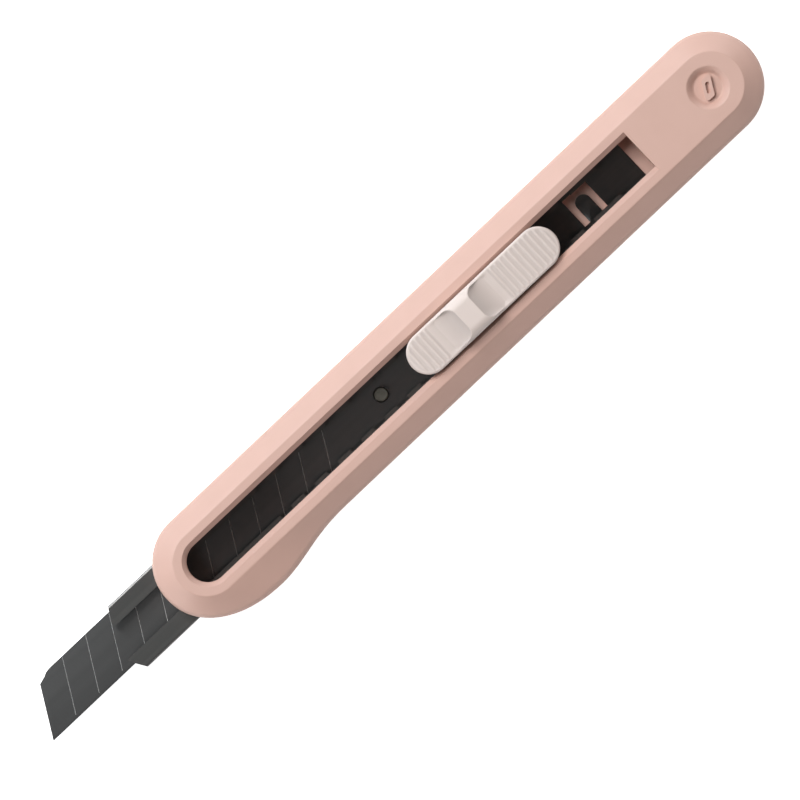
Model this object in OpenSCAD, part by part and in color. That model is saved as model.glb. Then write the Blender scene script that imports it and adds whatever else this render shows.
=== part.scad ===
// Snap-off cutter with a 9 mm blade and a click-lock slider, all sizes in millimetres.
// The origin is the centre of the flat back. +X runs from the blade's point to the
// tail, +Y to the blade's spine, and +Z from the back to the thumb slider.
// The two shells hold a folded steel sheath. The blade, its carrier and the slider
// run along X inside the sheath, and a leaf spring clicks into the sheath's notches.

/* [Housing] */
// Length from nose to tail
body_len = 129; // [127:0.5:132]
// Width across the straight sides
body_w = 17.6; // [17.2:0.1:18.4]
// Thickness from the back to the flat rim
body_h = 10; // [9.6:0.1:11]
// Width of the flat rim face
rim_w = 11; // [10.6:0.1:11.4]
// Slope of the long chamfer between rim and side, in degrees
chamfer_angle = 37; // [32:1:40]
// Radius where the chamfer turns into the side
side_r = 1.5; // [1:0.1:1.8]
// Radius along the back's edge
back_r = 1.2; // [0.8:0.1:1.4]
// How far the finger guard stands out of the side
guard_depth = 2.1; // [1.6:0.1:2.6]
// Distance from the nose to the finger guard's highest point
guard_from_nose = 15.2; // [14:0.1:17]
// Length over which the guard fades into the side
guard_run = 17.4; // [14:0.1:20]

/* [Window] */
// Width of the slot that the slider runs in
slot_w = 6.75; // [6.6:0.05:6.9]
// Width of the chamfer around the slot
slot_chamfer = 0.78; // [0.5:0.02:0.9]
// Distance from the nose to the slot's round end
slot_from_nose = 5.6; // [5.4:0.1:5.8]
// Distance from the tail to the slot's square end
slot_from_tail = 24.1; // [23.5:0.1:24.2]
// Radius of the round dimple near the tail
dimple_r = 3.6; // [3:0.1:3.8]

/* [Sheath] */
// Outer width of the folded steel sheath
sheath_w = 11.5; // [11.3:0.1:11.5]
// Thickness of its sheet
sheet = 0.5; // [0.4:0.05:0.5]
// Gap between its two folded lips
lip_gap = 5.3; // [5.2:0.05:5.4]
// Depth of the notches in the lips
notch_depth = 0.55; // [0.4:0.05:0.6]

/* [Blade] */
// Width from spine to cutting edge
blade_w = 9; // [8.8:0.1:9]
// Thickness of the blade
blade_t = 0.4; // [0.3:0.02:0.44]
// Number of segments that snap off
segments = 12; // [8:1:12]
// Length of one segment, which is also one click of the slider
pitch = 5.16; // [5.1:0.02:5.2]

/* [Slider] */
// Length of the thumb pad
pad_len = 31.4; // [30:0.1:31.4]
// Width of the thumb pad
pad_w = 7.1; // [6.9:0.05:7.2]
// Height of the pad's ridge over the rim
ridge_h = 3.4; // [3:0.1:3.6]
// How far the slider runs back to draw the blade in
retract = 19; // [18:0.1:19]

/* [Hidden] */

$fn = 48;
eps = 0.01;
cut = 1; // how far a cutting solid passes the face that it cuts

// Heights of the layers, from the back up
floor_t = 1.6;
sheath_z = floor_t;
sheath_floor = sheath_z + sheet;
play = 0.05;
carrier_t = 0.4;
carrier_z = sheath_floor + play;
spring_t = 0.2;
rail_h = 0.45;
blade_z = sheath_floor + rail_h + play;
lip_z = sheath_floor + 1.45;
parting_z = lip_z + sheet;
block_z = carrier_z + carrier_t + spring_t;
block_top = 5.4;
pad_z = body_h - 0.25;

// Housing outline
end_r = body_w / 2;
end_x = body_len / 2 - end_r;
rim_r = rim_w / 2;
chamfer_w = end_r - rim_r;
guard_x = guard_from_nose - body_len / 2;
guard_power = 2.15; // 2 would be an ellipse, and more is fuller
arc_steps = 12;
guard_steps = 12;

// Slot
slot_r = slot_w / 2;
slot_front = slot_from_nose - body_len / 2;
slot_back = body_len / 2 - slot_from_tail;
slot_drop = 0.9; // depth of the slot's chamfer
dimple_x = 55.2;
dimple_depth = 1;
dimple_floor_r = 2.25;
mark_h = 0.55;
mark_outer = [0.95, 1.65]; // half length and half width of the raised mark
mark_inner = [0.3, 0.8];

// Sheath
sheath_r = sheath_w / 2;
bend_r = 0.45;
sheath_back = 38.5;
lip_r = lip_gap / 2;
notch_r = lip_r + notch_depth;
notch_len = 2.28;
notch_first = -6;
notch_last = 7;
notch_x = -9.91; // middle of notch number 0
rail_y = 3.4;
rail_w = 1;
rail_front = -74;
rail_back = 32;
lip_step_x = 33.3; // behind this the lips are cut back for the slider to go in
tongue_front = 25.6;
tongue_back = 30.6;
tongue_w = 2.7;
tongue_y = -2.7; // the tongue's fixed end
tongue_top = 2.8;
tongue_len = 4.4;
tongue_tilt = 6;

// Blade
score_angle = 60;
blade_spine = sheath_r - sheet - 0.22;
blade_edge = blade_spine - blade_w;
blade_tip = -93.5;
blade_tail = -8.2;
bevel_w = 0.56;
edge_t = 0.04;
hole_x = -16.84;
hole_r = 1.33;
pin_r = 1.17;
pin_y = 0.3;
score_w = 0.12;
score_depth = 0.1;

// Slider and what rides with it
pad_front = -10.25;
pad_r = pad_w / 2;
tooth_x = notch_x + notch_last * pitch - retract;
tooth_len = 1.4;
tooth_out = notch_r - 0.1;
spring_lift = 0.5;
block_front = blade_tail + 0.3;
block_back = 18.9;
block_r = sheath_r - sheet - 0.55;
block_neck_r = lip_r - 0.2;
neck_r = slot_r - 0.37;
neck_front = -6.6;
neck_back = 18.4;
peg_r = 1;
peg_x = [0.5, 11.2];
peg_z = 3.7;
rivet_x = [-4.2, 15.6, 17.8];
rivet_r = 0.55;
rivet_head_r = 0.95;
rivet_top = 4.6;
rib_h = 0.2;
rib_w = 0.62;
rib_pitch = 1.034;
front_ribs = 5;
back_ribs = 11;

// Screws that join the shells: x, y
screw_at = [[46.6, 4.2], [46.6, -4.2], [guard_x - 0.6, -(end_r - 0.6)]];
screw_r = 0.85;
screw_head_r = 1.35;
screw_head_h = 0.9;
screw_sink = 0.5;
screw_top = 6.8;
counterbore_r = 1.45;
shell_peg_at = [[-32, 7.95], [-32, -7.95], [8, 7.95], [8, -7.95]];
shell_peg_r = 0.6;

// ---- Housing outline -------------------------------------------------------

function arc(cx, r, from, to, steps) =
    [for (i = [0:steps]) let (a = from + (to - from) * i / steps) [cx + r * cos(a), r * sin(a)]];

function power(v, e) = sign(v) * pow(abs(v), e);

// The guard's front is a full quarter curve from the nose to the highest point
function guard_front() =
    [for (i = [1:arc_steps])
        let (a = 180 + 90 * i / arc_steps, e = 2 / guard_power)
        [guard_x + guard_from_nose * power(cos(a), e), (end_r + guard_depth) * power(sin(a), e)]];

function fade(t) = pow(cos(90 * t), 3);

// Its back fades into the straight side
function guard_back() =
    [for (i = [1:guard_steps])
        let (t = i / guard_steps)
        [guard_x + guard_run * t, -end_r - guard_depth * fade(t)]];

// Both lists start at the tail's upper corner, from where every other point is in sight
outline = concat(
    [[end_x, end_r]],
    arc(-end_x, end_r, 90, 180, arc_steps),
    guard_front(),
    guard_back(),
    arc(end_x, end_r, -90, 90 - 90 / arc_steps, 2 * arc_steps - 1)
);

// The rim has a point for each point of the outline
rim = concat(
    [[end_x, rim_r]],
    arc(-end_x, rim_r, 90, 180, arc_steps),
    [for (i = [1:arc_steps]) let (a = 180 + 90 * i / arc_steps) [rim_r * cos(a) - end_x, rim_r * sin(a)]],
    [for (i = [1:guard_steps])
        let (t = i / guard_steps)
        [-end_x + (guard_x + guard_run + end_x) * t, -rim_r]],
    arc(end_x, rim_r, -90, 90 - 90 / arc_steps, 2 * arc_steps - 1)
);

// One ring of the housing: s is 0 at the rim and 1 at the side
function ring(s, z) = [for (i = [0:len(rim) - 1]) let (p = rim[i] * (1 - s) + outline[i] * s) [p[0], p[1], z]];

// A closed solid through rings that all have n points
module loft(rings) {
    n = len(rings[0]);
    levels = len(rings);
    points = [for (r = rings) each r];
    sides = [for (k = [0:levels - 2]) for (i = [0:n - 1])
        let (a = k * n + i, b = k * n + (i + 1) % n)
        each [[a, b + n, b], [a, a + n, b + n]]];
    caps = [[for (i = [0:n - 1]) i], [for (i = [0:n - 1]) levels * n - 1 - i]];
    polyhedron(points, concat(caps, sides));
}

// Insets and heights along the housing's section, from the back's edge up to the rim
side_steps = 4;
side_from_rim = chamfer_w - side_r * (1 - sin(chamfer_angle));
side_z = body_h - side_from_rim * tan(chamfer_angle) - side_r * cos(chamfer_angle);
back_levels = [for (i = [0:side_steps])
    let (a = 90 * i / side_steps)
    [(chamfer_w - back_r + back_r * sin(a)) / chamfer_w, back_r - back_r * cos(a)]];
side_levels = [for (i = [0:side_steps])
    let (a = (90 - chamfer_angle) * i / side_steps)
    [(chamfer_w - side_r + side_r * cos(a)) / chamfer_w, side_z + side_r * sin(a)]];

// The point at height z on the straight line through two levels
function level_at(p, q, z) = p + (q - p) * (z - p[1]) / (q[1] - p[1]);

// The first and last levels lie a little past the flat faces, which are cut afterwards
housing_levels = concat(
    [level_at(back_levels[0], back_levels[1], -0.05)],
    [for (i = [1:side_steps]) back_levels[i]],
    side_levels,
    [level_at([0, body_h], side_levels[side_steps], body_h + 0.5)]
);

// The housing without its slot and hollows, between two heights
module housing(from, to) {
    intersection() {
        loft([for (l = housing_levels) ring(l[0], l[1])]);
        block([-body_len, -body_w, from], [body_len, body_w, to]);
    }
}

// The slot's outline at half-width r: round at the nose, square at the back
function slot_ring(r, z) =
    [for (p = concat([[slot_back, -r], [slot_back, r]], arc(slot_front + slot_r, r, 90, 270, 2 * arc_steps)))
        [p[0], p[1], z]];

module slot_void() {
    widen = slot_chamfer / slot_drop;
    loft([
        slot_ring(slot_r, parting_z - cut),
        slot_ring(slot_r, body_h - slot_drop),
        slot_ring(slot_r + slot_chamfer + widen * cut, body_h + cut)
    ]);
}

// A box from one corner to the other
module block(low, high) {
    translate(low) cube(high - low);
}

module mirrored() {
    children();
    mirror([0, 1, 0]) children();
}

// ---- Shells ----------------------------------------------------------------

// A slanted lozenge, the shape of one blade segment
module lozenge(half) {
    slant = half[1] / tan(score_angle);
    polygon([[-half[0] - slant, -half[1]], [half[0] - slant, -half[1]],
        [half[0] + slant, half[1]], [-half[0] + slant, half[1]]]);
}

// Its raised outline stands on the dimple's floor
module dimple_mark() {
    linear_extrude(mark_h)
        difference() {
            lozenge(mark_outer);
            lozenge(mark_inner);
        }
}

module top_shell() {
    wall_in = slot_r + 1.5;
    wall_out = end_r - 1.7;
    hollow_top = 7.1;
    tail_from = slot_back + 1.6;
    color([0.87, 0.71, 0.66]) {
        difference() {
            housing(parting_z, body_h);
            slot_void();
            // Long hollows on both sides of the slot
            mirrored() block([-51, wall_in, parting_z - cut], [slot_back - 1, wall_out, hollow_top]);
            // Hollow in the tail, around the screw bosses
            difference() {
                block([tail_from, -wall_out + 1, parting_z - cut], [end_x + 3, wall_out - 1, hollow_top]);
                for (p = screw_at) translate([p[0], p[1], 0]) cylinder(h = body_h, r = 2.3);
            }
            for (p = screw_at)
                translate([p[0], p[1], parting_z - cut]) cylinder(h = screw_top - parting_z + cut, r = screw_r);
            translate([dimple_x, 0, body_h - dimple_depth])
                cylinder(h = 2 * dimple_depth, r1 = dimple_floor_r, r2 = 2 * dimple_r - dimple_floor_r);
        }
        translate([dimple_x, 0, body_h - dimple_depth - eps]) dimple_mark();
        for (p = shell_peg_at) translate([p[0], p[1], parting_z - 1]) cylinder(h = 1.5, r = shell_peg_r);
    }
}

module bottom_shell() {
    channel_r = sheath_r + 0.05;
    ledge_z = sheath_floor;
    color([0.84, 0.68, 0.63])
        difference() {
            housing(0, parting_z);
            // Channel for the sheath, open at the nose
            block([-body_len, -channel_r, floor_t], [sheath_back + play, channel_r, parting_z + cut]);
            // Ledge behind the sheath, seen through the slot
            block([sheath_back, -channel_r, ledge_z], [slot_back + 0.9, channel_r, parting_z + cut]);
            // Recess that takes the sheath's tongue
            block([tongue_front, tongue_y, floor_t - 0.6], [tongue_back, tongue_top, floor_t + eps]);
            // Hollow in the tail
            difference() {
                block([42.6, -6, floor_t], [end_x + 3, 6, parting_z + cut]);
                for (p = screw_at) translate([p[0], p[1], 0]) cylinder(h = body_h, r = 2.3);
            }
            for (p = screw_at) translate([p[0], p[1], -cut]) {
                cylinder(h = body_h, r = screw_r + 0.1);
                cylinder(h = cut + screw_sink + screw_head_h, r = counterbore_r);
            }
            for (p = shell_peg_at)
                translate([p[0], p[1], parting_z - 1.2]) cylinder(h = 1.2 + cut, r = shell_peg_r);
        }
}

// ---- Sheath ----------------------------------------------------------------

// Section of the folded sheet across X, as y and z
sheath_section = concat(
    [for (a = [180:15:270]) [-sheath_r + bend_r + bend_r * cos(a), sheath_z + bend_r + bend_r * sin(a)]],
    [for (a = [270:15:360]) [sheath_r - bend_r + bend_r * cos(a), sheath_z + bend_r + bend_r * sin(a)]],
    [for (a = [0:15:90]) [sheath_r - bend_r + bend_r * cos(a), parting_z - bend_r + bend_r * sin(a)]],
    [[lip_r, parting_z], [lip_r, lip_z], [sheath_r - sheet, lip_z], [sheath_r - sheet, sheath_floor]],
    [[-sheath_r + sheet, sheath_floor], [-sheath_r + sheet, lip_z], [-lip_r, lip_z], [-lip_r, parting_z]],
    [for (a = [90:15:180]) [-sheath_r + bend_r + bend_r * cos(a), parting_z - bend_r + bend_r * sin(a)]]
);

// The mouth is cut back at a slant on both lips, so that the blade snaps over it
mouth = [
    [sheath_back, -sheath_r - cut], [sheath_back, sheath_r + cut],
    [-71.7, sheath_r + cut], [-73.5, lip_r + 0.9], [-73.9, lip_r],
    [-75.9, -lip_r - 0.2], [-75.6, -lip_r - 0.8], [-73.6, -sheath_r - cut]
];

module along_x(from, to) {
    translate([from, 0, 0]) rotate([90, 0, 90]) linear_extrude(to - from) children();
}

module notches() {
    for (k = [notch_first:notch_last])
        block([notch_x + k * pitch - notch_len / 2, -notch_r, lip_z - cut],
            [notch_x + k * pitch + notch_len / 2, notch_r, parting_z + cut]);
    // The notch where the spring's teeth stand is longer towards the tail
    block([tooth_x - tooth_len, -notch_r, lip_z - cut], [tooth_x + tooth_len / 2 + 0.3, notch_r, parting_z + cut]);
    block([lip_step_x, -notch_r, lip_z - cut], [sheath_back + cut, notch_r, parting_z + cut]);
}

// The punched tongue that locks the sheath into the bottom shell
module tongue() {
    mid = (tongue_front + tongue_back) / 2;
    translate([mid, tongue_y, sheath_floor]) rotate([-tongue_tilt, 0, 0])
        translate([0, 0, -sheet]) linear_extrude(sheet) {
            translate([-tongue_w / 2, -sheet]) square([tongue_w, tongue_len - tongue_w / 2 + sheet]);
            translate([0, tongue_len - tongue_w / 2]) circle(r = tongue_w / 2);
        }
}

module blade_sheath() {
    color([0.2, 0.2, 0.2]) {
        difference() {
            intersection() {
                along_x(-80, sheath_back + cut) polygon(sheath_section);
                translate([0, 0, sheath_z - cut]) linear_extrude(body_h) polygon(mouth);
            }
            notches();
            block([tongue_front, tongue_y, sheath_z - cut], [tongue_back, tongue_top, sheath_floor + 0.5]);
        }
        tongue();
        // Two stamped rails that carry the blade
        mirrored() block([rail_front, rail_y - rail_w / 2, sheath_floor - eps],
            [rail_back, rail_y + rail_w / 2, sheath_floor + rail_h]);
    }
}

// ---- Blade and carrier -----------------------------------------------------

module blade_outline() {
    slope = 1 / tan(score_angle);
    corner = 0.85; // height of the small clipped corner at the spine
    polygon([
        [blade_tip, blade_edge],
        [blade_tip + (blade_w - corner) * slope, blade_spine - corner],
        [blade_tip + blade_w * slope + 0.9, blade_spine - 0.6 * corner],
        [blade_tip + blade_w * slope + 2.3, blade_spine],
        [blade_tail, blade_spine], [blade_tail, blade_edge]
    ]);
}

// Section across X, with the ground edge
blade_section = [
    [blade_edge, blade_t / 2 - edge_t / 2], [blade_edge + bevel_w, 0], [blade_spine, 0],
    [blade_spine, blade_t], [blade_edge + bevel_w, blade_t], [blade_edge, blade_t / 2 + edge_t / 2]
];

module score(k) {
    slope = 1 / tan(score_angle);
    low = blade_edge + bevel_w;
    x = blade_tip + k * pitch;
    x_low = x + bevel_w * slope;
    x_high = x + (blade_w + cut) * slope;
    translate([0, 0, blade_z + blade_t - score_depth]) linear_extrude(1)
        polygon([[x_low - score_w, low], [x_low + score_w, low],
            [x_high + score_w, blade_spine + cut], [x_high - score_w, blade_spine + cut]]);
}

module blade() {
    color([0.25, 0.25, 0.26])
        difference() {
            intersection() {
                translate([0, 0, blade_z]) along_x(blade_tip - cut, blade_tail) polygon(blade_section);
                translate([0, 0, blade_z - cut]) linear_extrude(2 * cut + blade_t) blade_outline();
            }
            for (k = [1:segments]) score(k);
            translate([hole_x, pin_y, blade_z - cut]) cylinder(h = 2 * cut + blade_t, r = hole_r);
        }
}

carrier_front = hole_x - 2.6;

module blade_carrier() {
    color([0.2, 0.2, 0.21])
        difference() {
            translate([0, 0, carrier_z]) linear_extrude(carrier_t) {
                translate([carrier_front + 2.5, -2.5]) square([block_back - carrier_front - 2.5, 5]);
                translate([carrier_front + 2.5, 0]) circle(r = 2.5);
            }
            translate([hole_x, pin_y, carrier_z - cut]) cylinder(h = 2 * cut, r = 0.8);
            for (x = rivet_x) translate([x, 0, carrier_z]) rivet_solid();
        }
}

module carrier_pin() {
    pin_top = blade_z + blade_t + 0.25;
    neck_top = carrier_z + carrier_t;
    edge = 0.15;
    color([0.34, 0.34, 0.3]) translate([hole_x, pin_y, 0])
        rotate_extrude()
            polygon([[0, carrier_z], [0.8, carrier_z], [0.8, neck_top], [pin_r, neck_top],
                [pin_r, pin_top - edge], [pin_r - edge, pin_top], [0, pin_top]]);
}

// ---- Slider ----------------------------------------------------------------

// A countersunk rivet, from the carrier's underside up, with play around it when wanted
module rivet_solid() {
    rotate_extrude()
        polygon([[0, 0], [rivet_head_r, 0], [rivet_r, carrier_t - 0.05],
            [rivet_r, rivet_top - carrier_z], [0, rivet_top - carrier_z]]);
}

module slider_rivets() {
    color([0.6, 0.6, 0.6])
        for (x = rivet_x) translate([x, 0, carrier_z]) rivet_solid();
}

module slider_block() {
    flange_top = lip_z - 0.1;
    leaf_front = tooth_x - tooth_len / 2 - 0.4;
    leaf_back = rivet_x[1] - 1.4;
    color([0.16, 0.16, 0.16])
        difference() {
            union() {
                block([block_front, -block_r, block_z], [leaf_front, block_r, flange_top]);
                block([block_front, -2.5, carrier_z + carrier_t], [leaf_front, 2.5, block_z + eps]);
                block([leaf_back, -block_r, block_z], [block_back, block_r, flange_top]);
                block([block_front + 1, -block_neck_r, flange_top - eps], [block_back, block_neck_r, block_top]);
            }
            // Room for the leaf spring to bend
            block([leaf_front - eps, -block_r, block_z - cut], [leaf_back + eps, block_r, flange_top]);
            for (x = peg_x) translate([x, 0, peg_z]) cylinder(h = block_top - peg_z + cut, r = peg_r);
            for (x = rivet_x) translate([x, 0, carrier_z]) rivet_solid();
        }
}

module click_spring() {
    base_z = carrier_z + carrier_t;
    tip_z = base_z + spring_lift;
    tip = tooth_x - tooth_len / 2;
    bend_low = rivet_x[1] - 1.5;
    bend_high = tooth_x + tooth_len / 2 + 0.4;
    leaf_r = 1.9;
    profile = [
        [block_back, base_z], [block_back, base_z + spring_t], [bend_low, base_z + spring_t],
        [bend_high, tip_z + spring_t], [tip, tip_z + spring_t], [tip, tip_z], [bend_high, tip_z], [bend_low, base_z]
    ];
    color([0.7, 0.7, 0.72])
        difference() {
            union() {
                translate([0, leaf_r, 0]) rotate([90, 0, 0]) linear_extrude(2 * leaf_r) polygon(profile);
                // Two teeth, folded up at the leaf's free end
                mirrored() {
                    block([tip, 0, tip_z], [tip + tooth_len, tooth_out, tip_z + spring_t]);
                    block([tip, tooth_out - spring_t, tip_z], [tip + tooth_len, tooth_out, parting_z - 0.2]);
                }
            }
            for (x = [rivet_x[1], rivet_x[2]]) translate([x, 0, carrier_z]) rivet_solid();
        }
}

// Side profile of the pad's top, front to back: x, and height over the rim
pad_profile = [
    [pad_front, 0.45], [-9.6, 0.9], [-8.4, 1.2], [-6.5, 1.4], [-4.6, 1.45],
    [-3.9, 1.25], [-2.7, 1.25], [-1.5, 1.6], [-0.5, 2.25], [0.5, ridge_h - 0.15], [0.7, ridge_h],
    [4.1, ridge_h], [4.3, ridge_h - 0.15], [5.3, 2.3], [6.5, 1.65], [7.7, 1.35], [8.8, 1.25], [9.4, 1.5],
    [13, 1.5], [16.5, 1.35], [18.8, 1.1], [20.3, 0.8], [pad_front + pad_len, 0.45]
];

function pad_height(x) = body_h + lookup(x, pad_profile);

module pad_plan(inset) {
    for (x = [pad_front + pad_r, pad_front + pad_len - pad_r]) translate([x, 0]) circle(r = pad_r - inset);
    translate([pad_front + pad_r, -pad_r + inset]) square([pad_len - 2 * pad_r, pad_w - 2 * inset]);
}

module thumb_slider() {
    front_rib = -8.96;
    back_rib = 9.69;
    side = [for (p = pad_profile) [p[0], body_h + p[1]]];
    color([0.86, 0.82, 0.8]) {
        intersection() {
            translate([0, 0, pad_z]) linear_extrude(ridge_h + cut) pad_plan(0);
            translate([0, pad_w, 0]) rotate([90, 0, 0]) linear_extrude(2 * pad_w)
                polygon(concat([[pad_front + pad_len, pad_z], [pad_front, pad_z]], side));
        }
        // Ribs that the thumb pushes against
        intersection() {
            translate([0, 0, pad_z]) linear_extrude(ridge_h + cut) pad_plan(0.45);
            union() {
                for (i = [0:front_ribs - 1]) rib(front_rib + i * rib_pitch);
                for (i = [0:back_ribs - 1]) rib(back_rib + i * rib_pitch);
            }
        }
        block([neck_front, -neck_r, block_top], [neck_back, neck_r, pad_z + eps]);
        for (x = peg_x) translate([x, 0, peg_z]) cylinder(h = block_top - peg_z + eps, r = peg_r);
    }
}

module rib(x) {
    block([x - rib_w / 2, -pad_r, pad_height(x) - 0.4], [x + rib_w / 2, pad_r, pad_height(x) + rib_h]);
}

// ---- Screws ----------------------------------------------------------------

module shell_screw() {
    drive_w = 0.35;
    difference() {
        union() {
            translate([0, 0, screw_sink]) cylinder(h = screw_head_h, r = screw_head_r);
            translate([0, 0, screw_sink]) cylinder(h = screw_top - screw_sink, r = screw_r);
        }
        for (a = [0, 90]) rotate([0, 0, a])
            block([-0.95, -drive_w / 2, screw_sink - cut], [0.95, drive_w / 2, screw_sink + 0.5]);
    }
}

module shell_screws() {
    color([0.55, 0.55, 0.56])
        for (p = screw_at) translate([p[0], p[1], 0]) shell_screw();
}

top_shell();
bottom_shell();
blade_sheath();
blade();
blade_carrier();
carrier_pin();
slider_block();
thumb_slider();
click_spring();
slider_rivets();
shell_screws();
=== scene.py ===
"""Looks of the snap-off cutter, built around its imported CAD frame.

Lengths are in millimetres until a mesh or a light is made, and these are in metres.
"""

import math

import bmesh
import bpy
from mathutils import Matrix, Vector


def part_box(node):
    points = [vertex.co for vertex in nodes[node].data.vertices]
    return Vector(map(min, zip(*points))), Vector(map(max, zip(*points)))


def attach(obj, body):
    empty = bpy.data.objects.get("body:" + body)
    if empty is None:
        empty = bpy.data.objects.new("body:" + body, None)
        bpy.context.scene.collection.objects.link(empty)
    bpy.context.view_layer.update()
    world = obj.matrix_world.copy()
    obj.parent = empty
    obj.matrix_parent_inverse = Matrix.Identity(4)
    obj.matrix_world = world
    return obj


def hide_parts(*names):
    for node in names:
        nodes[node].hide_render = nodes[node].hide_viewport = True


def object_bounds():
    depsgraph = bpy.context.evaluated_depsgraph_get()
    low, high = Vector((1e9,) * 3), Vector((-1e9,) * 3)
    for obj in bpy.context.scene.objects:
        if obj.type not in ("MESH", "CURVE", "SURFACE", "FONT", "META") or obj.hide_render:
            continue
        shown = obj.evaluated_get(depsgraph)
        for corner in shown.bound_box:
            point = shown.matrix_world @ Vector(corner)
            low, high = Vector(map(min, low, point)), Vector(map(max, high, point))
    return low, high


MM = 0.001

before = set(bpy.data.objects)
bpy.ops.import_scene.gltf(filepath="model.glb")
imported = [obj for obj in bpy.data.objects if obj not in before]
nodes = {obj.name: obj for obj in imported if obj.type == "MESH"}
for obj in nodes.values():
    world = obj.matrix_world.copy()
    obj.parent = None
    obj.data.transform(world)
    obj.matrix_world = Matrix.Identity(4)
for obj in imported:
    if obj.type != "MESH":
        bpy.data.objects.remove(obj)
cad_low, cad_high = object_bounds()


def box_mm(node):
    """Lowest and highest corner of a CAD node, in millimetres."""
    low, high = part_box(node)
    return low / MM, high / MM


# ---- Camera -----------------------------------------------------------------

KNIFE_TURN = math.radians(43.42)  # the knife points down and left by this much in the picture
VIEW_WIDTH = 128.6
VIEW_CENTRE = (-15.23, -2.44)
VIEW_PLANE = 8.0
LENS = 800.0
SENSOR = 36.0


def make_camera():
    data = bpy.data.cameras.new("camera")
    data.lens = LENS
    data.sensor_width = SENSOR
    data.clip_start = 0.1
    data.clip_end = 100
    camera = bpy.data.objects.new("camera", data)
    height = VIEW_WIDTH * LENS / SENSOR + VIEW_PLANE
    camera.location = Vector((*VIEW_CENTRE, height)) * MM
    camera.rotation_euler = (0, 0, -KNIFE_TURN)
    bpy.context.scene.collection.objects.link(camera)
    bpy.context.scene.camera = camera


make_camera()

# ---- Light ------------------------------------------------------------------

LIGHT_CENTRE = Vector((-15, 0, 5)) * MM
WHITE = (1, 1, 1)
WORLD_SHED = 0.05


def soft_box(name, azimuth, elevation, distance, size, power, colour):
    """An area light that looks at the knife. Azimuth 0 is +X and 90 is +Y, and lengths are in metres."""
    data = bpy.data.lights.new(name, "AREA")
    data.color = colour
    data.shape = "RECTANGLE"
    data.size, data.size_y = size
    data.energy = power
    light = bpy.data.objects.new(name, data)
    a, e = math.radians(azimuth), math.radians(elevation)
    away = Vector((math.cos(a) * math.cos(e), math.sin(a) * math.cos(e), math.sin(e)))
    light.location = LIGHT_CENTRE + away * distance
    light.rotation_mode = "QUATERNION"
    light.rotation_quaternion = away.to_track_quat("Z", "Y")
    light.visible_camera = False
    bpy.context.scene.collection.objects.link(light)
    return light


key_light = soft_box("key_light", 100, 56, 1.0, (0.55, 0.9), 12.6, (1, 0.965, 0.94))
soft_box("side_light", 106, 17, 0.7, (0.9, 0.24), 1.2, (0.4, 0.75, 1))
soft_box("tail_fill", 25, 12, 0.7, (0.4, 0.2), 1.0, WHITE)
soft_box("nose_fill", 190, 12, 0.7, (0.4, 0.2), 1.15, WHITE)
soft_box("back_fill", -80, 10, 0.7, (0.9, 0.2), 0.68, WHITE)
# The dark steel is lit from lower down, so that it stays dark inside the slot
steel_light = soft_box("steel_light", 104, 30, 1.0, (0.5, 0.65), 12, (1, 0.97, 0.94))
steel_fill = soft_box("steel_fill", 180, 14, 1.0, (0.4, 0.2), 8, (1, 0.97, 0.94))
steel_top = soft_box("steel_top", 180, 60, 1.0, (0.4, 0.3), 1.1, (0.9, 0.97, 1))


def light_links(light, name, pieces, state):
    """Says which pieces a light leaves out, or which ones alone it reaches."""
    group = bpy.data.collections.new(name)
    for piece in pieces:
        group.objects.link(piece)
    light.light_linking.receiver_collection = group
    for member in group.collection_objects:
        member.light_linking.link_state = state


def make_world():
    """A backdrop that is seen white, but sheds little light."""
    world = bpy.data.worlds.new("studio")
    world.use_nodes = True
    tree = world.node_tree
    shed = tree.nodes["Background"]
    shed.inputs["Color"].default_value = (*WHITE, 1)
    shed.inputs["Strength"].default_value = WORLD_SHED
    shown = tree.nodes.new("ShaderNodeBackground")
    shown.inputs["Color"].default_value = (*WHITE, 1)
    seen = tree.nodes.new("ShaderNodeLightPath").outputs["Is Camera Ray"]
    either = tree.nodes.new("ShaderNodeMixShader")
    tree.links.new(seen, either.inputs["Fac"])
    tree.links.new(shed.outputs["Background"], either.inputs[1])
    tree.links.new(shown.outputs["Background"], either.inputs[2])
    tree.links.new(either.outputs["Shader"], tree.nodes["World Output"].inputs["Surface"])
    bpy.context.scene.world = world


make_world()
bpy.context.scene.view_settings.view_transform = "Standard"

# ---- Materials --------------------------------------------------------------


def add(tree, kind, **inputs):
    """A shader node with some of its inputs set or linked."""
    node = tree.nodes.new(kind)
    for key, value in inputs.items():
        socket = node.inputs[key.replace("_", " ")]
        if isinstance(value, bpy.types.NodeSocket):
            tree.links.new(value, socket)
        else:
            socket.default_value = value
    return node


def noise(tree, scale, stretch=(1, 1, 1), detail=3.0):
    """A noise value over the object, in cells of 1 / scale metres.

    A stretch under 1 draws the cells out along that axis.
    """
    place = add(tree, "ShaderNodeTexCoord").outputs["Object"]
    mapped = add(tree, "ShaderNodeMapping", Vector=place, Scale=stretch).outputs["Vector"]
    return add(tree, "ShaderNodeTexNoise", Vector=mapped, Scale=scale, Detail=detail).outputs["Fac"]


def spread(tree, value, low, high, start=0.3, end=0.7):
    """Maps a value from between start and end to between low and high."""
    node = add(tree, "ShaderNodeMapRange", Value=value)
    for key, number in (("From Min", start), ("From Max", end), ("To Min", low), ("To Max", high)):
        node.inputs[key].default_value = number
    return node.outputs["Result"]


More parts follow.
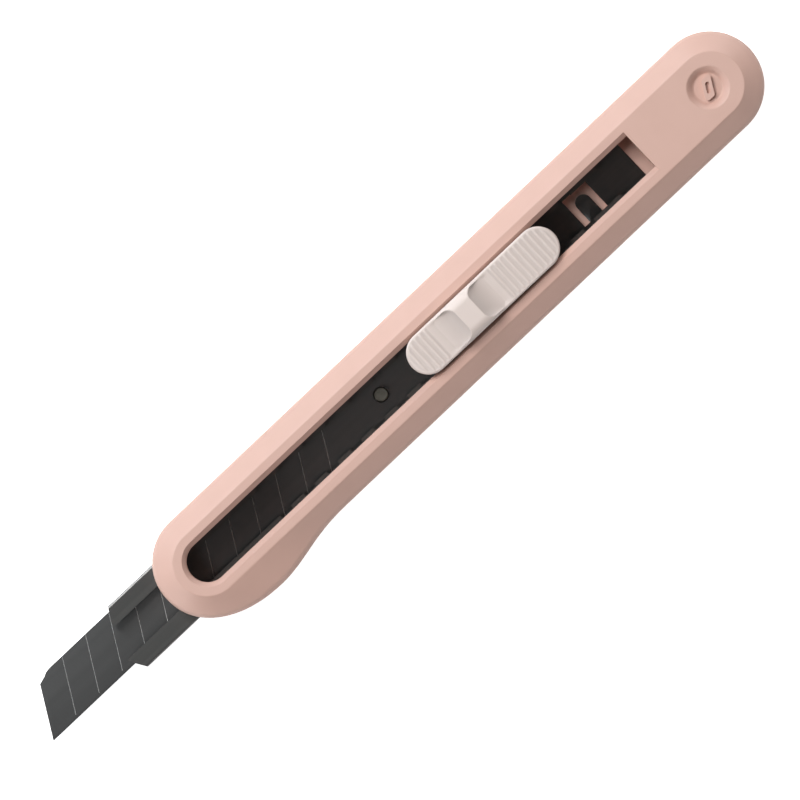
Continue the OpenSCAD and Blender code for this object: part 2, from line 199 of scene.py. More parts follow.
def finish(
    name, dark, light, rough, blotch, grain, metallic=0.0, specular=0.5, stretch=(1, 1, 1), coat=(0, 0.3)
):
    """A material with two close tones, uneven gloss and fine relief.

    rough is the range of the roughness, blotch is the scale of the tones, grain is the relief's scale,
    depth in mm and strength, and coat is the clear coat's weight and roughness.
    """
    material = bpy.data.materials.new(name)
    material.use_nodes = True
    tree = material.node_tree
    shader = tree.nodes["Principled BSDF"]
    shader.inputs["Metallic"].default_value = metallic
    shader.inputs["Specular IOR Level"].default_value = specular
    shader.inputs["Coat Weight"].default_value, shader.inputs["Coat Roughness"].default_value = coat
    tone = add(tree, "ShaderNodeMix", Factor=spread(tree, noise(tree, blotch, stretch), 0, 1))
    tone.data_type = "RGBA"
    tone.inputs[6].default_value = (*dark, 1)
    tone.inputs[7].default_value = (*light, 1)
    tree.links.new(tone.outputs[2], shader.inputs["Base Color"])
    tree.links.new(spread(tree, noise(tree, blotch * 4, stretch), *rough), shader.inputs["Roughness"])
    scale, depth, strength = grain
    bumps = noise(tree, scale, stretch, 2.0)
    relief = add(tree, "ShaderNodeBump", Height=bumps, Strength=strength, Distance=depth * MM)
    tree.links.new(relief.outputs["Normal"], shader.inputs["Normal"])
    return material


def paint_shade(material, share):
    """Paints shade into the tone: takes a share off it where the mesh's painted-shade attribute is 1."""
    tree = material.node_tree
    shader = tree.nodes["Principled BSDF"]
    tone = shader.inputs["Base Color"].links[0].from_socket
    painted_shade = tree.nodes.new("ShaderNodeAttribute")
    painted_shade.attribute_name = "painted_shade"
    value = spread(tree, painted_shade.outputs["Fac"], 1, 1 - share, 0, 1)
    darker = add(tree, "ShaderNodeHueSaturation", Color=tone, Value=value)
    tree.links.new(darker.outputs["Color"], shader.inputs["Base Color"])


def glow(material, shed, shown):
    """Lifts a backdrop's shadows: shed is the strength that falls on the knife, and shown is what is seen."""
    tree = material.node_tree
    shader = tree.nodes["Principled BSDF"]
    shader.inputs["Emission Color"].default_value = (*WHITE, 1)
    seen = add(tree, "ShaderNodeLightPath").outputs["Is Camera Ray"]
    tree.links.new(spread(tree, seen, shed, shown, 0, 1), shader.inputs["Emission Strength"])


ALONG = (0.03, 1, 1)  # brushed along the knife
pink = finish(
    "pink_abs", (0.60, 0.393, 0.332), (0.615, 0.405, 0.344), (0.46, 0.54), 260, (5200, 0.02, 0.25)
)
cream = finish(
    "cream_abs", (0.66, 0.578, 0.542), (0.675, 0.593, 0.557), (0.45, 0.55), 300, (5600, 0.02, 0.25)
)
sheath_steel = finish(
    "sheath_steel", (0.056, 0.056, 0.055), (0.068, 0.068, 0.066), (0.4, 0.5), 900, (4200, 0.01, 0.4),
    specular=0.4, stretch=ALONG, coat=(1.0, 0.12)
)
blade_steel = finish(
    "blade_steel", (0.063, 0.064, 0.065), (0.07, 0.071, 0.072), (0.45, 0.55), 900, (5000, 0.01, 0.3),
    specular=0.4, stretch=ALONG
)
score_steel = finish(
    "score_steel", (0.24, 0.24, 0.24), (0.34, 0.34, 0.34), (0.4, 0.5), 2500, (6000, 0.01, 0.4), metallic=0.2
)
pin_steel = finish(
    "pin_steel", (0.05, 0.05, 0.04), (0.07, 0.07, 0.058), (0.3, 0.42), 1500, (6000, 0.01, 0.4), metallic=0.5
)
dark_plastic = finish(
    "dark_pom", (0.02, 0.02, 0.02), (0.028, 0.028, 0.028), (0.4, 0.5), 700, (5000, 0.02, 0.3)
)
spring_steel = finish(
    "spring_steel", (0.4, 0.4, 0.41), (0.5, 0.5, 0.51), (0.25, 0.35), 900, (5000, 0.01, 0.3),
    metallic=1.0, stretch=ALONG
)
aluminium = finish(
    "aluminium", (0.5, 0.5, 0.51), (0.6, 0.6, 0.61), (0.3, 0.42), 1500, (6000, 0.01, 0.3), metallic=1.0
)
screw_steel = finish(
    "screw_steel", (0.38, 0.38, 0.39), (0.5, 0.5, 0.5), (0.28, 0.4), 1500, (6000, 0.01, 0.3), metallic=1.0
)
floor_paper = finish(
    "floor_paper", (0.9, 0.9, 0.9), (0.92, 0.92, 0.92), (0.8, 0.9), 30, (900, 0.05, 0.1), specular=0.1
)
glow(floor_paper, 0.25, 1.0)
# Painted shade on the slider's pad: darker between the ribs, and in the scoops towards the ridge
paint_shade(cream, 0.28)

# ---- Mesh helpers -----------------------------------------------------------

CUT = 1  # how far a cutting tool runs past a face
SAME_POINT = 0.002
SAME_PLANE = math.radians(0.2)


def mesh_piece(name, points, faces):
    mesh = bpy.data.meshes.new(name)
    mesh.from_pydata([(x * MM, y * MM, z * MM) for x, y, z in points], [], faces)
    mesh.validate()
    piece = bpy.data.objects.new(name, mesh)
    bpy.context.scene.collection.objects.link(piece)
    return piece


def loft(name, rings):
    """A closed skin through rings of the same length, each anticlockwise seen from the last one."""
    n, last = len(rings[0]), len(rings) - 1
    points = [p for ring in rings for p in ring]
    faces = [tuple(range(n - 1, -1, -1)), tuple(range(last * n, last * n + n))]
    for k in range(last):
        for i in range(n):
            a, b = k * n + i, k * n + (i + 1) % n
            faces.append((a, b, b + n, a + n))
    return mesh_piece(name, points, faces)


def prism(name, plan, low, high):
    """A plan in X and Y, anticlockwise, between two heights."""
    return loft(name, [[(x, y, z) for x, y in plan] for z in (low, high)])


def block(low, high):
    (x0, y0, z0), (x1, y1, z1) = low, high
    return prism("block", [(x0, y0), (x1, y0), (x1, y1), (x0, y1)], z0, z1)


def lathe(centre, profile, steps=64):
    """Rings of (radius, height) around a vertical axis, from the bottom up."""
    x, y = centre
    turns = [2 * math.pi * i / steps for i in range(steps)]
    return loft("lathe", [[(x + r * math.cos(t), y + r * math.sin(t), z) for t in turns] for r, z in profile])


def rod(centre, radius, low, high, steps=40):
    return lathe(centre, [(radius, low), (radius, high)], steps)


def evaluated_mesh(piece):
    graph = bpy.context.evaluated_depsgraph_get()
    return bpy.data.meshes.new_from_object(piece.evaluated_get(graph))


def combine(piece, tools, operation="DIFFERENCE"):
    """Cuts tools out of the piece, joins them to it, or keeps what they share."""
    for tool in tools:
        step = piece.modifiers.new("combine", "BOOLEAN")
        step.solver = "EXACT"
        step.operation = operation
        step.object = tool
    mesh = evaluated_mesh(piece)
    piece.modifiers.clear()
    piece.data = mesh
    for tool in tools:
        bpy.data.objects.remove(tool)
    return piece


def soften(piece, width, where=None, angle=28, segments=3):
    """Rounds the sharp edges whose middle satisfies where(x, y, z), in millimetres."""
    bm = bmesh.new()
    bm.from_mesh(piece.data)
    bmesh.ops.remove_doubles(bm, verts=bm.verts, dist=SAME_POINT * MM)
    bmesh.ops.dissolve_limit(bm, angle_limit=SAME_PLANE, verts=bm.verts, edges=bm.edges)
    edges = []
    for edge in bm.edges:
        if len(edge.link_faces) == 2 and edge.calc_face_angle(0) > math.radians(angle):
            middle = (edge.verts[0].co + edge.verts[1].co) / 2 / MM
            if where is None or where(*middle):
                edges.append(edge)
    bmesh.ops.bevel(
        bm, geom=edges, offset=width * MM, segments=segments, profile=0.5, affect="EDGES",
        clamp_overlap=True
    )
    bm.to_mesh(piece.data)
    bm.free()


def smooth(piece, angle=32):
    """Smooth shading that keeps the sharp edges and the flat faces."""
    mesh = piece.data
    mesh.shade_smooth()
    mesh.set_sharp_from_angle(angle=math.radians(angle))
    step = piece.modifiers.new("normals", "WEIGHTED_NORMAL")
    step.keep_sharp = True
    step.weight = 90


def dress(piece, material, body, replaced):
    """Gives a piece its material and its body, and hides the CAD node that it replaces."""
    piece.data.materials.clear()
    piece.data.materials.append(material)
    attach(piece, body)
    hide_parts(replaced)


# ---- Housing ----------------------------------------------------------------

top_low, top_high = box_mm("top_shell")
PARTING_Z = box_mm("bottom_shell")[1].z
BODY_H = top_high.z
END_R = top_high.y
END_X = top_high.x - END_R
GUARD_DEPTH = -END_R - top_low.y
GUARD_FROM_NOSE = 15.2
GUARD_X = top_low.x + GUARD_FROM_NOSE
GUARD_POWER = 2.15
GUARD_RUN = 17.4
RIM_R = 5.5
CHAMFER_W = END_R - RIM_R
CHAMFER = math.radians(37)
SIDE_R = 1.5
BACK_R = 1.2
RIM_ROUND = 0.45
ARC_STEPS = 26


def arc(cx, r, start, end, steps):
    """Points around (cx, 0), from one angle to another in degrees."""
    turns = [math.radians(start + (end - start) * i / steps) for i in range(steps + 1)]
    return [(cx + r * math.cos(t), r * math.sin(t)) for t in turns]


def power(v, e):
    """A power that keeps the sign."""
    return math.copysign(abs(v) ** e, v)


def housing_plan():
    """Matching points of the outline and of the rim, anticlockwise."""
    outline = [(END_X, END_R)] + arc(-END_X, END_R, 90, 180, ARC_STEPS)
    rim = [(END_X, RIM_R)] + arc(-END_X, RIM_R, 90, 180, ARC_STEPS)
    for i in range(1, ARC_STEPS + 1):
        a = math.radians(180 + 90 * i / ARC_STEPS)
        e = 2 / GUARD_POWER
        x = GUARD_X + GUARD_FROM_NOSE * power(math.cos(a), e)
        y = (END_R + GUARD_DEPTH) * power(math.sin(a), e)
        outline.append((x, y))
        rim.append((RIM_R * math.cos(a) - END_X, RIM_R * math.sin(a)))
    for i in range(1, ARC_STEPS + 1):
        t = i / ARC_STEPS
        outline.append((GUARD_X + GUARD_RUN * t, -END_R - GUARD_DEPTH * math.cos(math.pi / 2 * t) ** 3))
        rim.append((-END_X + (GUARD_X + GUARD_RUN + END_X) * t, -RIM_R))
    outline += arc(END_X, END_R, -90, 90, 2 * ARC_STEPS)[:-1]
    rim += arc(END_X, RIM_R, -90, 90, 2 * ARC_STEPS)[:-1]
    return outline, rim


OUTLINE, RIM = housing_plan()


def ring(inset, z):
    """The housing's outline drawn in towards the rim: inset is in millimetres on the straight sides."""
    s = 1 - inset / CHAMFER_W
    return [(a[0] * (1 - s) + b[0] * s, a[1] * (1 - s) + b[1] * s, z) for a, b in zip(RIM, OUTLINE)]


def rounding(steps, angle):
    """Turns from 0 to an angle."""
    return [angle * i / steps for i in range(steps + 1)]


def slot_ring(r, z):
    """The slot's outline at a height: square at the back and round at the front."""
    plan = [(SLOT_BACK, -r), (SLOT_BACK, r)] + arc(SLOT_FRONT, r, 90, 270, 2 * ARC_STEPS)
    return [(x, y, z) for x, y in plan]


SLOT_R = 3.375
SLOT_CHAMFER = 0.78
SLOT_DROP = 0.9
SLOT_FRONT = top_low.x + 5.6 + SLOT_R
SLOT_BACK = top_high.x - 24.1
# The hollows beside the slot and the one in the tail
WALL_IN = 4.875
WALL_OUT = 7.1
HOLLOW_TOP = 7.1
HOLLOW_FRONT = -51
HOLLOW_BACK = SLOT_BACK - 1
TAIL_FRONT = SLOT_BACK + 1.6
TAIL_BACK = END_X + 3
TAIL_TOP_HALF = 6.1
TAIL_BOTTOM_HALF = 6
TAIL_BOTTOM_FRONT = 42.6
BOSS_R = 2.3
SCREW_R = 0.85
SCREW_TOP = 6.8
SCREW_PASS_R = 0.95
SCREW_PASS_TOP = 9
COUNTERBORE_R = 1.45
COUNTERBORE_H = 1.4
PEG_R = 0.6
PEG_H = 0.5
PEG_HOLE = 1.2
PEG_STEPS = 24
SCREWS = [(46.6, 4.2), (46.6, -4.2), (GUARD_X - 0.6, -END_R + 0.6)]
PEGS = [(-32, 7.95), (-32, -7.95), (8, 7.95), (8, -7.95)]
DIMPLE = (55.2, 0)
DIMPLE_FLOOR = BODY_H - 1
# Radius of the dimple's wall, and its height over the dimple's floor
BOWL = [
    (2.2, 0), (2.36, 0.03), (2.5, 0.11), (2.65, 0.24), (3.25, 0.8), (3.42, 0.92), (3.6, 1.0), (3.85, 1.08)
]
MARK_OUTER, MARK_OUTER_CORNER = (0.95, 1.65), 0.5
MARK_INNER, MARK_INNER_CORNER = (0.36, 0.82), 0.25
MARK_H, MARK_ROOT = 0.7, 0.1
EDGE_BREAK = 0.12
# Past these an edge is on the outside, for both shells and for the top and the bottom one alone
OUTER_Y = 8.5
OUTER_X_TOP, OUTER_X_BOTTOM = 58, 62
OUTER_Z_TOP, OUTER_Z_BOTTOM = 8.5, 0.1
SCORE_ANGLE = math.radians(60)  # between a blade's edge and its score lines


def without_bosses(hollow):
    """A hollow's tool that leaves the screw bosses standing."""
    return combine(hollow, [rod(p, BOSS_R, -CUT, BODY_H + CUT) for p in SCREWS])


def lozenge(half_size, corner, steps=8):
    """A rounded slanted lozenge, the shape of one blade segment."""
    x, y = half_size
    slant = y / math.tan(SCORE_ANGLE)
    corners = [Vector(p) for p in ((-x - slant, -y), (x - slant, -y), (x + slant, y), (-x + slant, y))]
    plan = []
    for i, here in enumerate(corners):
        before = (corners[i - 1] - here).normalized()
        after = (corners[(i + 1) % 4] - here).normalized()
        half = before.angle(after) / 2
        centre = here + (before + after).normalized() * (corner / math.sin(half))
        start = here + before * (corner / math.tan(half)) - centre
        sweep = math.pi - 2 * half
        for k in range(steps + 1):
            turn = start.copy()
            turn.rotate(Matrix.Rotation(sweep * k / steps, 2))
            plan.append(tuple(centre + turn))
    return plan


def on_parting_line(z):
    return abs(z - PARTING_Z) < 0.01


def top_skin():
    """The top shell's outer skin, from the parting line over the chamfer to the rim."""
    rise = SIDE_R * (1 - math.sin(CHAMFER))
    side_z = BODY_H - (CHAMFER_W - rise) * math.tan(CHAMFER) - SIDE_R * math.cos(CHAMFER)
    rings = [ring(0, PARTING_Z)]
    for a in rounding(8, math.pi / 2 - CHAMFER):
        rings.append(ring(SIDE_R - SIDE_R * math.cos(a), side_z + SIDE_R * math.sin(a)))
    # The rim's edge is rounded where the chamfer meets the flat
    reach = RIM_ROUND * math.tan(CHAMFER / 2)
    for a in rounding(5, CHAMFER):
        inset = CHAMFER_W + reach - RIM_ROUND * math.sin(CHAMFER - a)
        rings.append(ring(inset, BODY_H - RIM_ROUND + RIM_ROUND * math.cos(CHAMFER - a)))
    return loft("shell_top", rings)


def slot_tool():
    widen = SLOT_CHAMFER / SLOT_DROP
    rings = [
        slot_ring(SLOT_R, PARTING_Z - CUT),
        slot_ring(SLOT_R, BODY_H - SLOT_DROP),
        slot_ring(SLOT_R + SLOT_CHAMFER + widen * CUT, BODY_H + CUT),
    ]
    return loft("slot", rings)


def dimple_mark():
    """A raised outline of one blade segment on the dimple's floor."""
    outer = lozenge(MARK_OUTER, MARK_OUTER_CORNER)
    inner = lozenge(MARK_INNER, MARK_INNER_CORNER)
    mark = prism("mark", outer, DIMPLE_FLOOR - MARK_ROOT, DIMPLE_FLOOR + MARK_H)
    inside = prism("inside", inner, DIMPLE_FLOOR - CUT, DIMPLE_FLOOR + CUT)
    combine(mark, [inside])
    mark.data.transform(Matrix.Translation(Vector((*DIMPLE, 0)) * MM))
    return mark


def make_top_shell():
    shell = top_skin()
    slot = slot_tool()
    dimple = lathe(DIMPLE, [(r, DIMPLE_FLOOR + h) for r, h in BOWL], 96)
    low_z = PARTING_Z - CUT
    hollows = [
        block((HOLLOW_FRONT, low_y, low_z), (HOLLOW_BACK, high_y, HOLLOW_TOP))
        for low_y, high_y in ((WALL_IN, WALL_OUT), (-WALL_OUT, -WALL_IN))
    ]
    tail = block((TAIL_FRONT, -TAIL_TOP_HALF, low_z), (TAIL_BACK, TAIL_TOP_HALF, HOLLOW_TOP))
    without_bosses(tail)
    holes = [rod(p, SCREW_R, low_z, SCREW_TOP) for p in SCREWS]
    combine(shell, [slot, dimple, *hollows, tail, *holes])
    pegs = [rod(p, PEG_R, low_z, PARTING_Z + PEG_H, PEG_STEPS) for p in PEGS]
    combine(shell, [dimple_mark(), *pegs], "UNION")

    def outer_edge(x, y, z):
        return z > OUTER_Z_TOP or (on_parting_line(z) and (abs(y) > OUTER_Y or abs(x) > OUTER_X_TOP))

    soften(shell, EDGE_BREAK, outer_edge)
    smooth(shell)
    dress(shell, pink, "housing", "top_shell")


# The channel in the bottom shell that holds the sheath, and the room for the sheath's tongue
CHANNEL_R = 5.8
CHANNEL_FLOOR = 1.6
CHANNEL_FRONT = -90
CHANNEL_TOP = 6
SHEATH_BACK = 38.5
SHEATH_PLAY = 0.05
LEDGE_BACK = SLOT_BACK + 0.9
LEDGE_Z = 2.1
TONGUE_ROOM = (25.6, -2.7, 1.0), (30.6, 2.8, 2)


def make_bottom_shell():
    rings = [
        ring(BACK_R - BACK_R * math.sin(a), BACK_R - BACK_R * math.cos(a)) for a in rounding(8, math.pi / 2)
    ]
    rings.append(ring(0, PARTING_Z))
    shell = loft("shell_bottom", rings)
    channel_back = SHEATH_BACK + SHEATH_PLAY
    cuts = [
        block((CHANNEL_FRONT, -CHANNEL_R, CHANNEL_FLOOR), (channel_back, CHANNEL_R, CHANNEL_TOP)),
        block((SHEATH_BACK, -CHANNEL_R, LEDGE_Z), (LEDGE_BACK, CHANNEL_R, CHANNEL_TOP)),
        block(*TONGUE_ROOM),
    ]
    tail_low = (TAIL_BOTTOM_FRONT, -TAIL_BOTTOM_HALF, CHANNEL_FLOOR)
    tail_high = (TAIL_BACK, TAIL_BOTTOM_HALF, CHANNEL_TOP)
    cuts.append(without_bosses(block(tail_low, tail_high)))
    for p in SCREWS:
        cuts.append(rod(p, SCREW_PASS_R, -CUT, SCREW_PASS_TOP))
        cuts.append(rod(p, COUNTERBORE_R, -CUT, COUNTERBORE_H))
    cuts += [rod(p, PEG_R, PARTING_Z - PEG_HOLE, PARTING_Z + CUT, PEG_STEPS) for p in PEGS]
    combine(shell, cuts)

    def outer_edge(x, y, z):
        return z < OUTER_Z_BOTTOM or (on_parting_line(z) and (abs(y) > OUTER_Y or abs(x) > OUTER_X_BOTTOM))

    soften(shell, EDGE_BREAK, outer_edge)
    smooth(shell)
    dress(shell, pink, "housing", "bottom_shell")


make_top_shell()
make_bottom_shell()

# ---- Thumb slider -----------------------------------------------------------

pad_low, pad_high = box_mm("thumb_slider")
PAD_FRONT, PAD_BACK = pad_low.x, pad_high.x
PAD_R = pad_high.y
PAD_Z = 9.75
RIDGE = pad_high.z - BODY_H
RIB_PITCH = 1.034
RIBS = [(-8.96, 5), (9.69, 11)]  # the first rib's place and how many ribs follow on, for both rows
RIB_H = 0.12
RIB_SINK = 0.3  # share of a rib's height by which the gaps between ribs are sunk
RIB_CREST, RIB_FOOT = 0.04, 0.34  # half widths of a rib's flat crest and of its foot
RIB_END, RIB_FULL = 0.4, 0.7  # distances from the outline where a rib starts and is at its full height
FIELD_MARGIN = 0.6  # how far a field goes past the middle of its first and last rib
# Painted shade between the ribs, and the distances from the outline where it starts and where it reaches its
# full share
RIB_GAP_SHADE = 0.45
SHADE_FROM_EDGE, SHADE_FULL_FROM_EDGE = 0.35, 0.65
EDGE_ROUND = 0.35
NECK = (-6.6, -3.005, 5.4), (18.4, 3.005, PAD_Z + 0.4)
NECK_ROUND = 0.4
PAD_PEG_X = 0.5, 11.2
PAD_PEG_R = 1
PAD_PEG_LOW, PAD_PEG_HIGH = 3.7, 6


def step_up(v, start, end):
    """0 before start, 1 after end, and a smooth curve between."""
    t = min(max((v - start) / (end - start), 0), 1)
    return t * t * (3 - 2 * t)


def edge_distance(x, y):
    """How far a point of the pad is from its outline."""
    off = max(PAD_FRONT + PAD_R - x, x - PAD_BACK + PAD_R, 0)
    return PAD_R - math.hypot(off, y)


# Height of the pad over the rim along its middle, without the ridge and the ribs
SPINE = [
    (PAD_FRONT, 0.45), (-9.6, 0.9), (-8.4, 1.2), (-6.5, 1.4), (-4.6, 1.45), (0, 1.45), (6, 1.45), (9.4, 1.5),
    (13, 1.5), (16.5, 1.35), (18.8, 1.1), (20.3, 0.8), (PAD_BACK, 0.45)
]


def along(points, x):
    """A smooth curve through points of (x, height)."""
    for i in range(len(points) - 1):
        (x1, z1), (x2, z2) = points[i], points[i + 1]
        if x <= x2:
            x0, z0 = points[max(i - 1, 0)]
            x3, z3 = points[min(i + 2, len(points) - 1)]
            m1 = (z2 - z0) / (x2 - x0)
            m2 = (z3 - z1) / (x3 - x1)
            h = x2 - x1
            t = min(max((x - x1) / h, 0), 1)
            return (
                (2 * t**3 - 3 * t**2 + 1) * z1 + (t**3 - 2 * t**2 + t) * h * m1
                + (3 * t**2 - 2 * t**3) * z2 + (t**3 - t**2) * h * m2
            )
    return points[-1][1]


def rib(x):
    """1 on a rib's crest, 0 between the ribs, and None away from both rows."""
    for first, count in RIBS:
        if first - FIELD_MARGIN < x < first + (count - 1) * RIB_PITCH + FIELD_MARGIN:
            phase = (x - first) / RIB_PITCH
            return 1 - step_up(abs(phase - round(phase)) * RIB_PITCH, RIB_CREST, RIB_FOOT)
    return None


SCOOP_Z = 1.28
SCOOP_FRONT, SCOOP_BACK = -4.7, 9.2
SCOOP_SIDE = 3.05
SCOOP_CORNER = 1.45
SCOOP_RUN_FRONT, SCOOP_RUN_BACK = 3, 2  # lengths over which the scoops sink in at their far ends
SIDE_RUN_IN, SIDE_RUN_OUT = 0.5, 0.1  # widths over which they rise at their sides
CLIMB_FRONT, CLIMB_BACK = 3, 2.5  # powers that say how steeply the scoops end at the ridge
RIDGE_FRONT, RIDGE_BACK = 0.75, 4.05
SHOULDER_Y, SHOULDER_R = 1.85, 1.9  # the ridge falls off in a round shoulder from SHOULDER_Y on
DROP_POWER = 0.6
# How fast the painted shade in the scoops deepens towards the ridge
SCOOP_SHADE_POWER = 0.4


def round_drop(radius, run):
    """How far a round shoulder has fallen at a run from its top."""
    return radius - math.sqrt(max(radius**2 - run**2, 0))


def pad_height(x, y):
    """Height of the pad over the rim."""
    d = edge_distance(x, y)
    side = abs(y)
    z = along(SPINE, x)
    crest = rib(x)
    if crest is not None:
        z += RIB_H * (crest - RIB_SINK) * step_up(d, RIB_END, RIB_FULL)
    elif SCOOP_FRONT < x < SCOOP_BACK:
        climb = scoop_climb(x, side)
        drop = round_drop(SHOULDER_R, max(side - SHOULDER_Y, 0))
        depth = step_up(x, SCOOP_FRONT, SCOOP_FRONT + SCOOP_RUN_FRONT)
        depth *= 1 - step_up(x, SCOOP_BACK - SCOOP_RUN_BACK, SCOOP_BACK)
        depth *= 1 - step_up(side, SCOOP_SIDE - SIDE_RUN_IN, SCOOP_SIDE + SIDE_RUN_OUT)
        floor = z - (z - SCOOP_Z) * depth
        z = max(floor, SCOOP_Z + (RIDGE - SCOOP_Z) * climb - drop * climb**DROP_POWER)
    if d < EDGE_ROUND:
        z -= round_drop(EDGE_ROUND, EDGE_ROUND - d)
    return min(z, RIDGE)


def scoop_climb(x, side):
    """How far a scoop has climbed to the ridge: 0 at its far end and 1 on the ridge."""
    into = min(max(side - SCOOP_SIDE + SCOOP_CORNER, 0), SCOOP_CORNER)
    # The ridge's flat top is wider towards the sides
    flare = round_drop(SCOOP_CORNER, into)
    if x < RIDGE_FRONT - flare:
        return max((x - SCOOP_FRONT) / (RIDGE_FRONT - flare - SCOOP_FRONT), 0) ** CLIMB_FRONT
    if x > RIDGE_BACK + flare:
        return max((SCOOP_BACK - x) / (SCOOP_BACK - RIDGE_BACK - flare), 0) ** CLIMB_BACK
    return 1


def painted_shade_at(x, y):
    """Painted shade of the pad at a point, from 0 to 1: between the ribs, and in the scoops deepening towards
    the ridge.
    """
    crest = rib(x)
    if crest is not None:
        return RIB_GAP_SHADE * (1 - crest) * step_up(edge_distance(x, y), SHADE_FROM_EDGE, SHADE_FULL_FROM_EDGE)
    climb = scoop_climb(x, abs(y))
    if climb == 1 or abs(y) > SCOOP_SIDE:
        return 0
    return climb**SCOOP_SHADE_POWER


PAD_STEP = 0.085
PAD_ACROSS = 44
END_STEPS = [0.002, 0.008, 0.02, 0.04, 0.06]
END_ZONE = 0.07
TOP_FROM = 0.4


def pad_stations():
    """Places along the pad, close together at its round ends."""
    count = int((PAD_BACK - PAD_FRONT) / PAD_STEP)
    even = [PAD_FRONT + (PAD_BACK - PAD_FRONT) * i / count for i in range(count + 1)]
    middle = [x for x in even if PAD_FRONT + END_ZONE < x < PAD_BACK - END_ZONE]
    return sorted(middle + [PAD_FRONT + e for e in END_STEPS] + [PAD_BACK - e for e in END_STEPS])


def pad_skin():
    """The pad as a grid over its plan, closed by a wall and a flat underside at PAD_Z."""
    xs = pad_stations()
    # The points crowd towards both sides, where the edge is rounded
    shares = [math.sin(math.pi / 2 * (2 * i / PAD_ACROSS - 1)) for i in range(PAD_ACROSS + 1)]
    points, faces = [], []
    for x in xs:
        off = max(PAD_FRONT + PAD_R - x, x - PAD_BACK + PAD_R, 0)
        half = math.sqrt(max(PAD_R**2 - off**2, 0))
        points += [(x, half * s, BODY_H + pad_height(x, half * s)) for s in shares]
    row = PAD_ACROSS + 1
    last = len(xs) - 1
    for i in range(last):
        for j in range(PAD_ACROSS):
            a = i * row + j
            faces.append((a, a + row, a + row + 1, a + 1))
    # Once around the grid's edge: one side, the back end, the other side and the front end
    rim = [i * row for i in range(last + 1)]
    rim += [last * row + j for j in range(1, row)]
    rim += [i * row + PAD_ACROSS for i in range(last - 1, -1, -1)]
    rim += [j for j in range(PAD_ACROSS - 1, 0, -1)]
    top, n = len(points), len(rim)
    points += [(points[k][0], points[k][1], PAD_Z) for k in rim]
    for k in range(n):
        m = (k + 1) % n
        faces.append((top + k, top + m, rim[m], rim[k]))
    faces.append(tuple(top + k for k in range(n - 1, -1, -1)))
    return mesh_piece("slider_pad", points, faces)


def write_painted_shade(pad):
    """Writes the painted shade of the pad's top into the attribute that the cream material reads."""
    painted_shade = pad.data.attributes.new("painted_shade", "FLOAT", "POINT")
    for vertex, value in zip(pad.data.vertices, painted_shade.data):
        x, y, z = vertex.co / MM
        if z > BODY_H + TOP_FROM:
            value.value = painted_shade_at(x, y)


def make_thumb_slider():
    pad = pad_skin()
    neck = block(*NECK)
    soften(neck, NECK_ROUND)
    pegs = [rod((x, 0), PAD_PEG_R, PAD_PEG_LOW, PAD_PEG_HIGH) for x in PAD_PEG_X]
    combine(pad, [neck, *pegs], "UNION")
    smooth(pad, 50)
    dress(pad, cream, "slider", "thumb_slider")
    write_painted_shade(pad)


make_thumb_slider()

# ---- Blade ------------------------------------------------------------------

blade_low, blade_high = box_mm("blade")
PITCH = 5.16
SCORES = 12
SLOPE = 1 / math.tan(SCORE_ANGLE)
BEVEL_W = 0.56
EDGE_HALF = 0.02
# Where the slanted end meets the spine, the corner is cut off: its depth, and then how far along and down
# from the sharp corner its other points are
CORNER = 0.85
CORNER_POINTS = [(2.3, 0), (1.5, 0.12), (0.8, 0.48)]
PIN_HOLE, PIN_HOLE_R = (-16.84, 0.3), 1.33
GROOVE_HALF, GROOVE_DEPTH = 0.075, 0.07


def blade_strip():
    """A long strip with a bevel on both sides of its edge, cut to the blade's outline."""
    edge, spine_y, tip, tail = blade_low.y, blade_high.y, blade_low.x, blade_high.x
    low, high = blade_low.z, blade_high.z
    middle = (low + high) / 2
    section = [
        (edge, middle - EDGE_HALF), (edge + BEVEL_W, low), (spine_y, low),
        (spine_y, high), (edge + BEVEL_W, high), (edge, middle + EDGE_HALF)
    ]
    strip = loft("blade_strip", [[(x, y, z) for y, z in section] for x in (tip - CUT, tail)])
    width = spine_y - edge
    end = tip + width * SLOPE
    plan = [(tip, edge), (tail, edge), (tail, spine_y)]
    plan += [(end + run, spine_y - down) for run, down in CORNER_POINTS]
    plan.append((end - CORNER * SLOPE, spine_y - CORNER))
    return combine(strip, [prism("plan", plan, low - CUT, high + CUT)], "INTERSECT")


def score_tool(x):
    """The tool for one score: a groove from the bevel to past the spine, on a slant from x."""
    edge, spine_y, high = blade_low.y, blade_high.y, blade_high.z
    width = spine_y - edge
    starts = (x + BEVEL_W * SLOPE, edge + BEVEL_W), (x + (width + CUT) * SLOPE, spine_y + CUT)
    rise = high + GROOVE_DEPTH * 2
    groove = [(GROOVE_HALF * 3, rise), (0, high - GROOVE_DEPTH), (-GROOVE_HALF * 3, rise)]
    return loft("score", [[(px + dx, py, z) for dx, z in groove] for px, py in starts])


def in_score(face):
    """Whether a face lies in a groove: near the top, off the bevel, and leaning along the blade."""
    near_top = abs(face.center.z / MM - blade_high.z) < 0.1
    off_bevel = face.center.y / MM > blade_low.y + BEVEL_W * 0.9
    return near_top and off_bevel and 0.3 < face.normal.z < 0.95 and abs(face.normal.x) > 0.3


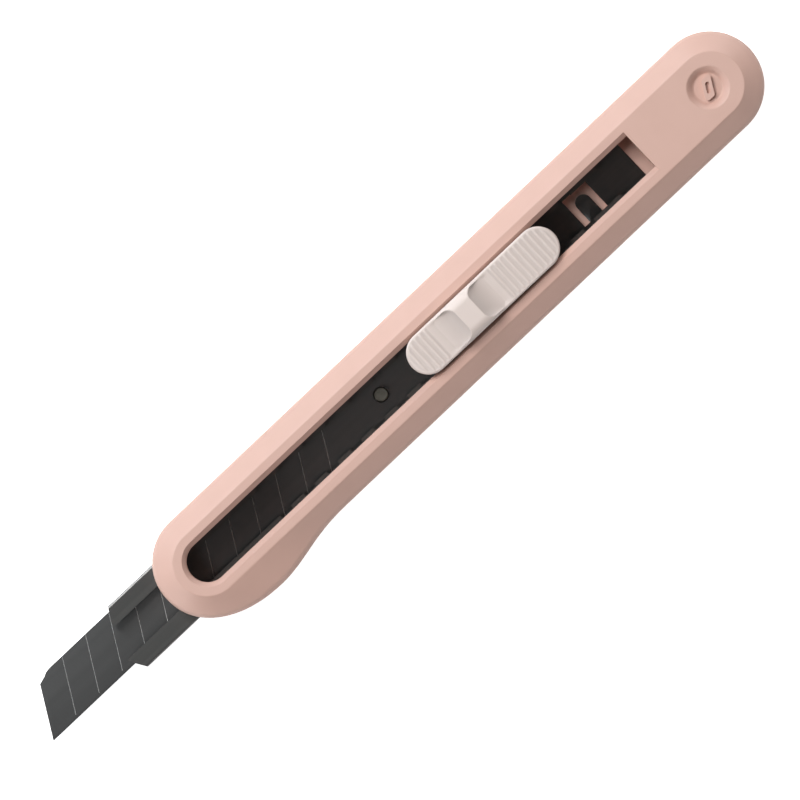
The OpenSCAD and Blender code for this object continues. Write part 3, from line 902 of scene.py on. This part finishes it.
def make_blade():
    strip = blade_strip()
    cuts = [rod(PIN_HOLE, PIN_HOLE_R, blade_low.z - CUT, blade_high.z + CUT, 64)]
    cuts += [score_tool(blade_low.x + k * PITCH) for k in range(1, SCORES + 1)]
    combine(strip, cuts)
    soften(strip, 0.03, None, 35, 2)
    smooth(strip, 20)
    dress(strip, blade_steel, "slider", "blade")
    # The scores break through the black finish to the bare steel
    strip.data.materials.append(score_steel)
    for face in strip.data.polygons:
        face.material_index = int(in_score(face))
    return strip


blade = make_blade()

# ---- CAD nodes that stay ----------------------------------------------------

CAD_WELD = 0.001
CAD_LOOKS = [
    ("blade_sheath", sheath_steel, 0.07),
    ("blade_carrier", sheath_steel, 0.04),
    ("carrier_pin", pin_steel, 0.04),
    ("slider_block", dark_plastic, 0.1),
    ("click_spring", spring_steel, 0.03),
    ("slider_rivets", aluminium, 0.03),
    ("shell_screws", screw_steel, 0.06),
]


def dress_cad_node(node, material, width):
    """Gives a CAD node its material and rounds its sharp edges by a width."""
    node.data.materials.clear()
    node.data.materials.append(material)
    weld = node.modifiers.new("weld", "WELD")
    weld.merge_threshold = CAD_WELD * MM
    edges = node.modifiers.new("edges", "BEVEL")
    edges.width = width * MM
    edges.segments = 2
    edges.limit_method = "ANGLE"
    edges.angle_limit = math.radians(40)
    edges.harden_normals = True


for name, material, width in CAD_LOOKS:
    dress_cad_node(nodes[name], material, width)

dark_steel = [blade, nodes["blade_sheath"], nodes["blade_carrier"]]
light_links(key_light, "lit_by_key", dark_steel, "EXCLUDE")
for light in (steel_light, steel_fill, steel_top):
    light_links(light, light.name + "_reach", dark_steel, "INCLUDE")

# ---- Floor ------------------------------------------------------------------

FLOOR_HALF = 1500
FLOOR_GAP = 0.02


def make_floor():
    corners = [(-1, -1), (1, -1), (1, 1), (-1, 1)]
    floor = mesh_piece("floor", [(x * FLOOR_HALF, y * FLOOR_HALF, 0) for x, y in corners], [(0, 1, 2, 3)])
    floor.location.z = cad_low.z - FLOOR_GAP * MM
    floor.data.materials.append(floor_paper)


make_floor()
